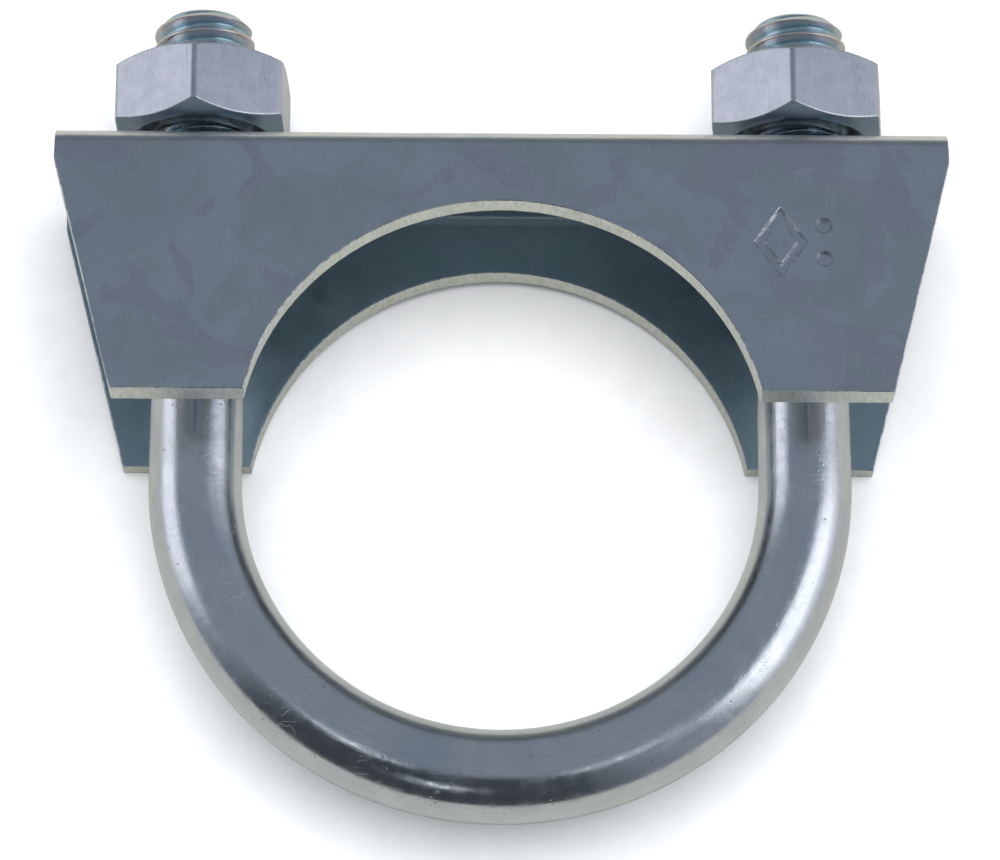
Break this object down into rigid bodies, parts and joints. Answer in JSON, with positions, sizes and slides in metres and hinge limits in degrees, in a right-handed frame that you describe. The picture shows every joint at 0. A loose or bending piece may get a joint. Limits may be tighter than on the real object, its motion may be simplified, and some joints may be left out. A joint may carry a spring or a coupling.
{
  "type": "u-bolt pipe clamp",
  "caption": "Round-bar U-bolt with threaded legs, a pressed channel saddle notched for a round pipe, and a hexagon nut on each leg.",
  "frame": {"origin": "centre of the clamped pipe, midway between the saddle's two walls", "axes": "+Z along the pipe, towards the wall that carries the size mark; +Y along the legs, from the bend to the nuts; +X from the left leg to the right leg"},
  "size_m": [0.0684, 0.0648, 0.0196],
  "materials": {
    "bar_zinc": "bright zinc plated round bar",
    "sheet_zinc": "blue-grey zinc plated sheet",
    "nut_zinc": "bright zinc plated"
  },
  "bodies": {
    "u_bolt": {"u_bolt": "bar_zinc"},
    "saddle": {"saddle": "sheet_zinc"},
    "nut_left": {"nut_left": "nut_zinc"},
    "nut_right": {"nut_right": "nut_zinc"}
  },
  "joints": [
    {"name": "saddle_slide", "type": "slide", "parent": "u_bolt", "child": "saddle", "axis": [0, 1, 0], "range_m": [-0.008, 0.003]},
    {"name": "nut_left_turn", "type": "hinge", "parent": "saddle", "child": "nut_left", "pos_m": [-0.02325, 0.0309, 0], "axis": [0, 1, 0], "range_deg": [-2310, 870]},
    {"name": "nut_right_turn", "type": "hinge", "parent": "saddle", "child": "nut_right", "pos_m": [0.02325, 0.0309, 0], "axis": [0, 1, 0], "range_deg": [-2310, 870]}
  ],
  "couplings": [
    {"joint": "nut_left_turn", "follows": "saddle_slide", "rad_per_m": 5026.5},
    {"joint": "nut_right_turn", "follows": "saddle_slide", "rad_per_m": 5026.5}
  ]
}
